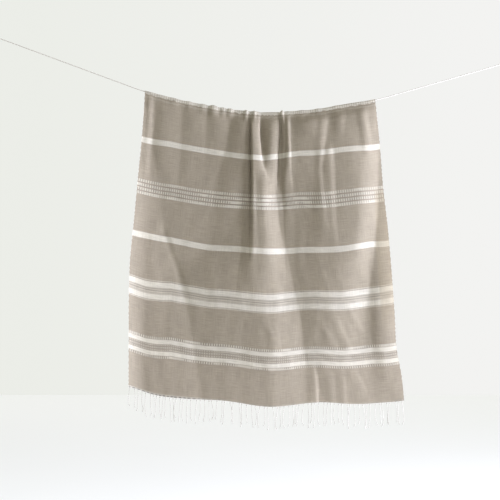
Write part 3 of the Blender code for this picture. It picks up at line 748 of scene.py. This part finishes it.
# ---- Materials
class Value:
    """What a node gives; sums with it add nodes to the same tree."""

    def __init__(self, socket):
        self.socket = socket
        self.tree = socket.id_data

    def maths(self, operation, *others):
        inputs = dict(enumerate((self, *others)))
        return given_by(self.tree, "ShaderNodeMath", 0, inputs, operation=operation)

    def __add__(self, other):
        return self.maths("ADD", other)

    def __sub__(self, other):
        return self.maths("SUBTRACT", other)

    def __rsub__(self, other):
        return self.maths("MULTIPLY_ADD", -1.0, other)

    def __mul__(self, other):
        return self.maths("MULTIPLY", other)

    def __truediv__(self, other):
        return self.maths("DIVIDE", other)

    __radd__ = __add__
    __rmul__ = __mul__

    def ramp(self, start, end):
        """0 below the start, 1 above the end, and an even S between."""
        ends = {"Value": self, "From Min": start, "From Max": end}
        return given_by(self.tree, "ShaderNodeMapRange", "Result", ends, interpolation_type="SMOOTHSTEP")

    def wave(self, length):
        """A sine wave from -1 to 1, of this length."""
        return (self * (2.0 * math.pi / length)).maths("SINE")

    def parts(self):
        """The three parts of a vector."""
        return [Value(part) for part in add_node(self.tree, "ShaderNodeSeparateXYZ", {0: self}).outputs]

    def noise(self, scale, detail=2.0, roughness=0.5):
        """Noise round 0.5 over a vector, at one scale or at its own scale along each axis."""
        place = self
        if isinstance(scale, tuple):
            place = given_by(self.tree, "ShaderNodeMapping", 0, {"Vector": self, "Scale": scale})
            scale = 1.0
        settings = {"Vector": place, "Scale": scale, "Detail": detail, "Roughness": roughness}
        return given_by(self.tree, "ShaderNodeTexNoise", "Fac", settings)


def feed(node, inputs):
    """Link the values to a node's inputs, and set those that are plain numbers or colours."""
    for key, value in inputs.items():
        socket = node.inputs[key]
        if isinstance(value, Value):
            node.id_data.links.new(value.socket, socket)
        elif socket.type == "RGBA":
            socket.default_value = (*value[:3], 1.0)
        else:
            socket.default_value = value


def add_node(tree, kind, inputs=None, **settings):
    node = tree.nodes.new(kind)
    for name, value in settings.items():
        setattr(node, name, value)
    feed(node, inputs or {})
    return node


def given_by(tree, kind, output, inputs=None, **settings):
    """What a new node gives at one of its outputs."""
    return Value(add_node(tree, kind, inputs, **settings).outputs[output])


def tree_of(inputs):
    return next(value.tree for value in inputs.values() if isinstance(value, Value))


def blend(share, first, second, mode="MIX"):
    """Blend two colours, of which at least one part is a value."""
    inputs = {"Factor": share, 6: first, 7: second}
    return given_by(tree_of(inputs), "ShaderNodeMix", 2, inputs, data_type="RGBA", blend_type=mode)


def darker(colour, share):
    return tuple(share * part for part in colour)


def strongest(*masks):
    result = masks[0]
    for mask in masks[1:]:
        result = result.maths("MAXIMUM", mask)
    return result


def new_material(name, roughness):
    material = bpy.data.materials.new(name)
    material.use_nodes = True
    shader = material.node_tree.nodes["Principled BSDF"]
    feed(shader, {"Roughness": roughness})
    return material, material.node_tree, shader


def add_bump(shader, height, strength, distance):
    relief = {"Height": height, "Strength": strength, "Distance": distance}
    feed(shader, {"Normal": given_by(height.tree, "ShaderNodeBump", "Normal", relief)})


def new_group(name, inputs, outputs):
    """A shader node group with named float inputs and outputs: its inputs' values, and its output node."""
    group = bpy.data.node_groups.new(name, "ShaderNodeTree")
    for way, labels in (("INPUT", inputs), ("OUTPUT", outputs)):
        for label in labels:
            group.interface.new_socket(label, in_out=way, socket_type="NodeSocketFloat")
    given = add_node(group, "NodeGroupInput").outputs
    return [Value(given[label]) for label in inputs], add_node(group, "NodeGroupOutput")


def place_group(name, build, inputs):
    """Place a group, built first if it isn't there yet, and give its values."""
    if name not in bpy.data.node_groups:
        build(name)
    group = bpy.data.node_groups[name]
    node = add_node(tree_of(inputs), "ShaderNodeGroup", inputs, node_tree=group)
    return [Value(output) for output in node.outputs]


def band_group(name):
    """One woven band: 1 inside it, fading over a thread's width at its edges, ticked across if asked."""
    labels = ("From Hem", "Tick Wave", "Place", "Width", "Strength", "Ticks")
    values, result = new_group(name, labels, ("Mask", "Gap"))
    from_hem, tick_wave, place, width, strength, ticks = values
    inside = width * 0.5 - (from_hem - place).maths("ABSOLUTE")
    edge = inside.ramp(-THREAD / 2, THREAD / 2)
    ticked = ticks * tick_wave
    feed(result, {"Mask": edge * ((1.0 - ticked) * strength), "Gap": edge * ticked})


def plied_group(name):
    """Twisted yarn, from the turn and the distance along: grooves between its plies, and loose fibres."""
    values, result = new_group(name, ("Turn", "Along", "Ply Length"), ("Groove", "Fibre"))
    turn, along, ply_length = values
    groove = ((turn - along / ply_length) * (2.0 * math.pi)).maths("COSINE") * 0.5 + 0.5
    place = {"X": turn * FIBRES_ROUND, "Y": along * FIBRES_ALONG}
    fibre = given_by(turn.tree, "ShaderNodeCombineXYZ", 0, place).noise(1.0, detail=3.0)
    feed(result, {"Groove": groove, "Fibre": fibre})


def woven_rows(rows, measured_from, tick_wave):
    """Where the strongest of some woven rows shows, and where the gaps between their ticks do."""
    placed = [
        place_group("woven band", band_group, {
            "From Hem": measured_from, "Tick Wave": tick_wave, "Place": centre, "Width": width,
            "Strength": strength, "Ticks": ticks})
        for _label, centre, width, strength, ticks in rows
    ]
    return [strongest(*masks) for masks in zip(*placed)]


def pattern_masks(weave):
    """How pale and how dark the woven pattern makes each place, with a painted highlight on the bend over
    the line, and how far the place is from its hem.
    """
    across, along, _none = weave.parts()
    from_front = along + ROW_WANDER * (weave.noise(ROW_WANDER_SCALE) - 0.5)
    from_hem = from_front.maths("MINIMUM", CLOTH_LENGTH - from_front)
    below_line = FRONT_LENGTH - along + FOLD_WANDER * (weave.noise(FOLD_WANDER_SCALE, detail=1.0) - 0.5)
    kept = weave.noise(TICK_PATCHES).ramp(*TICKS_KEPT)
    tick_wave = across.wave(TICK_LENGTH).maths("GREATER_THAN", TICK_EDGE) * kept
    woven, gaps = woven_rows(STRIPES, from_hem, tick_wave)
    # The fold's top row is partly painted: a painted highlight where the cloth bends over the line.
    fold_pale_and_highlight, _gaps = woven_rows(FOLD_PALE, below_line, tick_wave)
    woven_dark, _gaps = woven_rows(DARK_ROWS, from_hem, tick_wave)
    fold_dark, _gaps = woven_rows(FOLD_DARK, below_line, tick_wave)
    dark = strongest(woven_dark, fold_dark, gaps * GAP_SHADE)
    return strongest(woven, fold_pale_and_highlight) * (1.0 - dark), dark, from_hem


def hem_colours(colour, weave, from_hem):
    """A pale row along each hem with dark dashes in it, both fainter away from the left."""
    across = weave.parts()[0]
    wave = across.wave(HEM_DASH_LENGTH) + HEM_WOBBLE * (weave.noise(HEM_WOBBLE_SCALE) - 0.5)
    past = from_hem.ramp(*(share * HEM_DASH_HEIGHT for share in (0.6, 1.3)))
    dashes = (wave.ramp(*HEM_DASH_EDGES) - past).maths("MAXIMUM", 0.0)
    row = 1.0 - from_hem.ramp(0.7 * HEM_ROW_HEIGHT, HEM_ROW_HEIGHT)
    left, right = HEM_STRENGTHS
    hem_fade = left + (right - left) * across.ramp(*HEM_FADES_OVER)
    colour = blend(row * hem_fade, colour, colours().stripe)
    return blend(dashes * hem_fade, colour, HEM_DASH_COLOUR)


def selvedge_colours(colour, weave):
    """The strip along the right selvedge, made warmer with painted see-through light, and the outermost
    threads of both, the left one painted pale as painted light on its unlit rim.
    """
    across, along, _none = weave.parts()
    narrowing = STRIP_NARROWING * (along - STRIP_NARROWS_ABOVE).maths("MAXIMUM", 0.0)
    strip = (across - narrowing).ramp(CLOTH_WIDTH - STRIP_WIDTH, CLOTH_WIDTH - STRIP_WIDTH + STRIP_EDGE)
    strip = strip * along.ramp(*STRIP_STARTS) * (1.0 - along.ramp(*STRIP_ENDS))
    # Painted see-through light: where one layer hangs alone, light from behind makes it look warmer and
    # streaked.
    painted_glow = blend(weave.noise(STRIP_PICKS), PAINTED_GLOW_SHADE, PAINTED_GLOW_COLOUR)
    colour = blend(strip * PAINTED_GLOW_STRENGTH, colour, painted_glow)
    # Painted light: the left outermost thread is pale so that the unlit left rim reads bright.
    colour = blend(across.maths("LESS_THAN", EDGE_THREAD), colour, LEFT_RIM_PAINTED_LIGHT)
    last = across.maths("GREATER_THAN", CLOTH_WIDTH - EDGE_THREAD)
    return blend(last, colour, darker(colours().ground, RIGHT_THREAD_SHADE))


def cloth_material():
    """Plain weave in taupe with pale woven bands; light from behind comes through it."""
    material, tree, shader = new_material("striped cotton weave", CLOTH_ROUGHNESS)
    weave = given_by(tree, "ShaderNodeUVMap", "UV", uv_map="weave")
    pale, dark, from_hem = pattern_masks(weave)
    colour = blend(dark, colours().ground, darker(colours().ground, DARK_ROW_SHADE))
    colour = blend(pale, colour, colours().stripe)
    colour = hem_colours(colour, weave, from_hem)
    colour = selvedge_colours(colour, weave)
    weft, warp = (weave.noise(scales, 3.0, SLUB_ROUGHNESS) * share for scales, share in SLUBS)
    slubs = 1.0 + SLUB_CONTRAST * (weft + warp - 0.5)
    uneven = slubs * (1.0 + CLOUD_CONTRAST * (weave.noise(CLOUD_SCALE, detail=3.0) - 0.5))
    colour = blend(1.0, colour, uneven, "MULTIPLY")
    feed(shader, {"Base Color": colour})
    add_bump(shader, uneven + pale * STRIPE_RISE, *WEAVE_BUMP)

    passing = blend(pale, SEE_THROUGH_COLOUR, SEE_THROUGH_STRIPE)
    passing = {"Color": blend(SEE_THROUGH_EVENNESS, colour, passing)}
    behind = given_by(tree, "ShaderNodeBsdfTranslucent", 0, passing)
    layers = {0: SEE_THROUGH, 1: Value(shader.outputs[0]), 2: behind}
    feed(tree.nodes["Material Output"], {"Surface": given_by(tree, "ShaderNodeMixShader", 0, layers)})
    return material


def yarn_material(name, colour, ply):
    """Twisted cotton, with painted shade in the grooves between its plies."""
    material, tree, shader = new_material(name, YARN_ROUGHNESS)
    turn, along, _none = given_by(tree, "ShaderNodeUVMap", "UV", uv_map="ply").parts()
    inputs = {"Turn": turn, "Along": along, "Ply Length": ply["twist_length"] / ply["lobes"]}
    groove, fibre = place_group("plied yarn", plied_group, inputs)
    # Painted shade: the colour darkens from the crests of the plies into the grooves between them.
    shade = YARN_SHADE + GROOVE_SHADE * groove + FIBRE_SHADE * fibre
    feed(shader, {"Base Color": blend(shade, darker(colour, YARN_SHADOW), colour)})
    add_bump(shader, groove + fibre, *YARN_BUMP)
    return material


def steel_material():
    """Satin steel with fine turning marks and slight smudges."""
    material, tree, shader = new_material("satin steel finish", STEEL_ROUGHNESS)
    place = given_by(tree, "ShaderNodeTexCoord", "Object")
    smudge = place.noise(SMUDGE_SCALE, detail=3.0)
    roughness = STEEL_ROUGHNESS + MARKS_ROUGHNESS * place.noise(TURNING_MARKS) + SMUDGE_ROUGHNESS * smudge
    tint = blend(smudge, darker(colours().steel, SMUDGE_SHADE), colours().steel)
    feed(shader, {"Metallic": 1.0, "Base Color": tint, "Roughness": roughness})
    return material


# ---- Operators
class TOWEL_OT_hang_cloth(bpy.types.Operator):
    """Hang the striped cloth over the line, with its gather and its folds"""

    bl_idname = "towel.hang_cloth"
    bl_label = "Hang the cloth"

    def execute(self, context):
        across = column_places(sizes().columns)
        rows, along = sheet_rows(across, sizes().front_rows, sizes().back_rows)
        cloth = grid_object("towel_cloth", rows, across, along)
        border = border_points(rows.shape[0], rows.shape[1])
        apply_solidify(cloth, sizes().cloth_thickness, border, BORDER_THICKNESS)
        select_only(cloth)
        bpy.ops.object.shade_smooth_by_angle(angle=CREASE_ANGLE)
        finish_piece(cloth, cloth_material(), "taupe cotton", "towel")
        return {"FINISHED"}


def scatter(index, salt):
    """An even, repeatable scatter from -1 to 1."""
    by_index, by_salt, spread = SCATTER_STEPS
    value = math.sin(index * by_index + salt * by_salt) * spread
    return 2.0 * (value - math.floor(value)) - 1.0


def strand_tube(root, index):
    """Tube of one bundle: its knot just below the hem, and the twisted end hanging from it."""
    middle, spread = STRAND_REACH
    reach = sizes().strand_length * (middle + spread * scatter(index, 2))
    lean, bow, sway, curl = (size * scatter(index, salt) for salt, size in enumerate(STRAND_WANDERS, 3))
    points = [root - [0.0, 0.0, FRINGE_GAP], root - [0.0, 0.0, FRINGE_KNOT_DROP]]
    points += [root + [a * lean + b * bow, c * sway, -d * reach] for a, b, c, d in STRAND_WAY]
    points.append(root + [lean + curl, sway, -reach])
    path = smooth_path(points, STRAND_SPACING)
    run = np.linalg.norm(path - root, axis=1)
    swelling = FRINGE_KNOT_SWELLING * np.exp(-((run - FRINGE_KNOT_DROP) / FRINGE_KNOT_HALF) ** 2)
    fray = STRAND_FRAY * smooth((run / reach - STRAND_FRAYS_FROM) / (1.0 - STRAND_FRAYS_FROM))
    radii = sizes().strand_radius * (STRAND_CORE + swelling + fray)
    return twisted_tube(path, radii, STRAND_PLY, 3.0 * scatter(index, 7))


class TOWEL_OT_knot_fringes(bpy.types.Operator):
    """Knot the warp ends into bundles below both hems"""

    bl_idname = "towel.knot_fringes"
    bl_label = "Knot the fringes"

    def execute(self, context):
        yarn = yarn_material("twisted fringe cotton", colours().fringe, STRAND_PLY)
        for name, layer, strands in (
            ("fringe_front", front_layer, sizes().front_strands),
            ("fringe_back", back_layer, sizes().back_strands),
        ):
            shares = [i + 0.5 + STRAND_UNEVEN_PITCH * scatter(i, 1) for i in range(strands)]
            roots = layer(np.array(shares) * CLOTH_WIDTH / strands, 1.0)
            tubes = [strand_tube(root, i) for i, root in enumerate(roots)]
            finish_piece(tubes_object(name + "_strands", tubes), yarn, "cream cotton", name)
        return {"FINISHED"}


def route_point(x):
    return np.array([x, 0.0, float(line_height(x))])


def ring_place(side):
    """Middle of a ring and the way the line leaves it, for the left (-1) or right (1) wall eye."""
    low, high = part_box("wall_eye_left" if side < 0 else "wall_eye_right")
    x = low.x + RING_REACH if side < 0 else high.x - RING_REACH
    middle = route_point(x)
    ahead = route_point(x - side * (KNOT_START + KNOT_LENGTH)) - middle
    return middle, ahead / np.linalg.norm(ahead)


class TOWEL_OT_stretch_line(bpy.types.Operator):
    """Stretch the three-ply line from knot to knot"""

    bl_idname = "towel.stretch_line"
    bl_label = "Stretch the line"

    def execute(self, context):
        low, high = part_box("line")
        path = np.array([route_point(x) for x in np.linspace(low.x, high.x, LINE_STATIONS)])
        tube = twisted_tube(path, np.full(len(path), LINE_RADIUS), LINE_PLY)
        cotton = yarn_material("plied cotton line", colours().cord, LINE_PLY)
        finish_piece(tubes_object("line_cord", [tube]), cotton, "cream cord", "line")
        return {"FINISHED"}


class TOWEL_OT_tie_knots(bpy.types.Operator):
    """Tie the line to both rings: a loop round the ring's bar, closed by turns of cord"""

    bl_idname = "towel.tie_knots"
    bl_label = "Tie the knots"

    def execute(self, context):
        cotton = yarn_material("knotted cotton line", colours().cord, KNOT_PLY)
        for side, node in ((-1, "knot_left"), (1, "knot_right")):
            tubes = []
            for points in self.courses(side):
                path = smooth_path(points, TUBE_SPACING)
                tubes.append(twisted_tube(path, np.full(len(path), LINE_RADIUS), KNOT_PLY))
            finish_piece(tubes_object(node + "_cord", tubes), cotton, "cream cord", node)
        return {"FINISHED"}

    def courses(self, side):
        """Points of the loop through the ring, and of the coil that closes it."""
        middle, ahead = ring_place(side)
        front = np.array([0.0, -1.0, 0.0])
        across = np.cross(ahead, front)

        def at(along, forward, up=0.0):
            return middle + ahead * along + front * forward + across * up

        bend = RING_WIRE_RADIUS + LINE_RADIUS + LOOP_CLEARANCE
        angles = np.linspace(math.pi / 2, 1.5 * math.pi, LOOP_BEND_POINTS)
        loop = [at(KNOT_START + along, forward) for along, forward in LOOP_IN]
        loop += [at(RING_RADIUS + bend * math.cos(a), bend * math.sin(a)) for a in angles]
        loop += [at(KNOT_START + along, forward) for along, forward in LOOP_OUT]
        coil = []
        for turn in np.linspace(0.0, COIL_TURNS, COIL_POINTS):
            a = 2.0 * math.pi * turn
            along = KNOT_START + COIL_START + COIL_PITCH * turn
            coil.append(at(along, COIL_HALF_DEPTH * math.cos(a), COIL_HALF_HEIGHT * math.sin(a)))
        coil += [at(KNOT_START + along, forward, up * side) for along, forward, up in KNOT_TAIL]
        return loop, coil


def add_primitive(add, **settings):
    """Add a primitive with nothing else selected, and move its place and turn into its mesh."""
    bpy.ops.object.select_all(action="DESELECT")
    add(**settings)
    bpy.ops.object.transform_apply(location=True, rotation=True, scale=True)
    return bpy.context.object


class TOWEL_OT_fix_wall_eyes(bpy.types.Operator):
    """Fix a ring on a screwed plate at each end of the line"""

    bl_idname = "towel.fix_wall_eyes"
    bl_label = "Fix the wall eyes"

    def execute(self, context):
        steel = steel_material()
        for side, node in ((-1, "wall_eye_left"), (1, "wall_eye_right")):
            low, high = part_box(node)
            middle, _ahead = ring_place(side)
            wall = Vector((low.x if side < 0 else high.x, 0.0, middle[2]))
            plate = self.make_plate(wall, -side)
            parts = [*self.make_ring(wall, middle, -side)]
            parts += [self.make_screw(wall, -side, index) for index in range(SCREWS)]
            self.join(plate, parts)
            plate.name = node + "_fitting"
            finish_piece(plate, steel, "satin steel", node)
        return {"FINISHED"}

    def make_plate(self, wall, out):
        """A round plate on the wall, raised in steps towards its middle."""
        depth = PLATE_BASE * PLATE_THICKNESS
        plate = add_primitive(
            bpy.ops.mesh.primitive_cylinder_add, vertices=64, radius=PLATE_RADIUS, depth=depth,
            location=wall + Vector((out * depth / 2, 0.0, 0.0)), rotation=(0.0, out * QUARTER_TURN, 0.0))
        bpy.ops.object.mode_set(mode="EDIT")
        bpy.ops.mesh.select_all(action="DESELECT")
        work = bmesh.from_edit_mesh(plate.data)
        for face in work.faces:
            face.select = face.normal.x * out > 0.9
        bmesh.update_edit_mesh(plate.data)
        for inset, rise in PLATE_STEPS:
            bpy.ops.mesh.inset(thickness=PLATE_RADIUS * inset)
            bpy.ops.transform.translate(value=(out * PLATE_THICKNESS * rise, 0.0, 0.0))
        bpy.ops.object.mode_set(mode="OBJECT")
        return plate

    def make_ring(self, wall, middle, out):
        """The neck that stands on the plate, and the ring at its end."""
        length = RING_REACH - RING_RADIUS
        neck = add_primitive(
            bpy.ops.mesh.primitive_cylinder_add, vertices=32, radius=NECK_RADIUS, depth=length - NECK_SEAT,
            location=wall + Vector((out * (length + NECK_SEAT) / 2, 0.0, 0.0)),
            rotation=(0.0, QUARTER_TURN, 0.0))
        ring = add_primitive(
            bpy.ops.mesh.primitive_torus_add, major_segments=64, minor_segments=20,
            major_radius=RING_RADIUS, minor_radius=RING_WIRE_RADIUS, location=tuple(middle),
            rotation=(QUARTER_TURN, 0.0, 0.0))
        return neck, ring

    def make_screw(self, wall, out, index):
        """A flat domed head with a slot cut across it."""
        angle = 2.0 * math.pi * index / SCREWS + QUARTER_TURN
        aside = SCREW_CIRCLE * Vector((0.0, math.cos(angle), math.sin(angle)))
        spot = wall + aside + Vector((out * (PLATE_THICKNESS + SCREW_SEAT), 0.0, 0.0))
        head = add_primitive(
            bpy.ops.mesh.primitive_uv_sphere_add, segments=24, ring_count=12, radius=SCREW_RADIUS,
            location=spot, scale=(SCREW_FLATNESS, 1.0, 1.0))
        slot = add_primitive(
            bpy.ops.mesh.primitive_cube_add, size=1.0, scale=SLOT_SIZE,
            location=spot + Vector((out * SLOT_SIZE[0], 0.0, 0.0)),
            rotation=(FIRST_SLOT_TURN + index, 0.0, 0.0))
        select_only(head)
        cut = head.modifiers.new("slot", "BOOLEAN")
        cut.operation = "DIFFERENCE"
        cut.solver = "EXACT"
        cut.object = slot
        bpy.ops.object.modifier_apply(modifier=cut.name)
        bpy.data.objects.remove(slot, do_unlink=True)
        return head

    def join(self, plate, parts):
        """Join the parts into the plate and take the sharpness off its edges."""
        select_only(plate)
        for part in parts:
            part.select_set(True)
        bpy.ops.object.join()
        bevel = plate.modifiers.new("edges", "BEVEL")
        bevel.width = EDGE_BEVEL
        bevel.segments = 2
        bevel.limit_method = "ANGLE"
        bpy.ops.object.modifier_apply(modifier=bevel.name)
        bpy.ops.object.shade_smooth_by_angle(angle=EDGE_ANGLE)


class TOWEL_OT_set_stage(bpy.types.Operator):
    """Set the pale floor, the soft light and the camera"""

    bl_idname = "towel.set_stage"
    bl_label = "Set the stage"

    def execute(self, context):
        self.lay_floor()
        self.light_world(context.scene)
        self.hang_light(context.scene)
        self.place_camera(context.scene)
        return {"FINISHED"}

    def lay_floor(self):
        bpy.ops.object.select_all(action="DESELECT")
        bpy.ops.mesh.primitive_plane_add(
            size=FLOOR_SIZE, location=(VIEW_CENTRE[0], FLOOR_FAR_EDGE - FLOOR_SIZE / 2.0, FLOOR_HEIGHT))
        floor = bpy.context.object
        floor.name = "floor"
        material, tree, shader = new_material("pale floor", FLOOR_ROUGHNESS)
        place = given_by(tree, "ShaderNodeTexCoord", "Object")
        near = blend(place.noise(FLOOR_CLOUD_SCALE), *FLOOR_NEAR)
        far_share = place.parts()[1].ramp(*(share * FLOOR_SIZE for share in FLOOR_TURNS_PALE))
        feed(shader, {"Base Color": blend(far_share, near, FLOOR_FAR)})
        floor.data.materials.append(material)

    def light_world(self, scene):
        world = bpy.data.worlds.new("soft surroundings")
        scene.world = world
        world.use_nodes = True
        tree = world.node_tree
        sideways = given_by(tree, "ShaderNodeTexCoord", "Generated").parts()[0]
        towards_window = sideways * (0.5 / SURROUNDINGS_SPREAD) + 0.5
        away_side = tuple(c * share for c, share in zip(colours().surroundings, SURROUNDINGS_FALL))
        colour = blend(towards_window, away_side, colours().surroundings)
        feed(tree.nodes["Background"], {"Color": colour})
        scene.view_settings.view_transform = "Standard"

    def hang_light(self, scene):
        centre = Vector((VIEW_CENTRE[0], 0.0, VIEW_CENTRE[1]))
        place = centre + KEY_DISTANCE * Vector((math.sin(KEY_TURN), -math.cos(KEY_TURN), 0.0))
        place.z -= KEY_DROP
        data = bpy.data.lights.new("window light", "AREA")
        data.shape = "RECTANGLE"
        data.size, data.size_y = KEY_SIZE
        data.energy = KEY_POWER
        data.color = KEY_COLOUR
        lamp = bpy.data.objects.new("window light", data)
        scene.collection.objects.link(lamp)
        lamp.location = place
        lamp.rotation_euler = (centre - place).to_track_quat("-Z", "Y").to_euler()

    def place_camera(self, scene):
        data = bpy.data.cameras.new("view")
        data.sensor_width = SENSOR
        data.lens = SENSOR * VIEW_DISTANCE / (2.0 * HALF_VIEW)
        camera = bpy.data.objects.new("view", data)
        scene.collection.objects.link(camera)
        camera.location = (VIEW_CENTRE[0], -VIEW_DISTANCE, VIEW_CENTRE[1])
        camera.rotation_euler = (QUARTER_TURN, 0.0, 0.0)
        scene.camera = camera


class TOWEL_PT_panel(bpy.types.Panel):
    """The towel's sizes, colours and steps, in the sidebar"""

    bl_label = "Towel on a line"
    bl_idname = "TOWEL_PT_panel"
    bl_space_type = "VIEW_3D"
    bl_region_type = "UI"
    bl_category = "Towel"

    def draw(self, context):
        for group in (context.scene.towel_sizes, context.scene.towel_colours):
            box = self.layout.box()
            for name in group.__annotations__:
                box.prop(group, name)
        for step in STEPS:
            self.layout.operator(step.bl_idname)


STEPS = (
    TOWEL_OT_set_stage, TOWEL_OT_stretch_line, TOWEL_OT_tie_knots, TOWEL_OT_fix_wall_eyes,
    TOWEL_OT_hang_cloth, TOWEL_OT_knot_fringes,
)
CLASSES = (TowelSizes, TowelColours, *STEPS, TOWEL_PT_panel)


def register():
    for cls in CLASSES:
        bpy.utils.register_class(cls)
    bpy.types.Scene.towel_sizes = PointerProperty(type=TowelSizes)
    bpy.types.Scene.towel_colours = PointerProperty(type=TowelColours)


def unregister():
    del bpy.types.Scene.towel_colours
    del bpy.types.Scene.towel_sizes
    for cls in reversed(CLASSES):
        bpy.utils.unregister_class(cls)


def declare_soft_goods():
    """Work out points along the line's route; nothing is done with them."""
    low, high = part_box("line")
    path = [tuple(route_point(x)) for x in np.linspace(low.x, high.x, DECLARED_POINTS)]


def main():
    register()
    bpy.ops.towel.set_stage()
    bpy.ops.towel.stretch_line()
    bpy.ops.towel.tie_knots()
    bpy.ops.towel.fix_wall_eyes()
    bpy.ops.towel.hang_cloth()
    bpy.ops.towel.knot_fringes()
    declare_soft_goods()


if __name__ == "__main__":
    main()
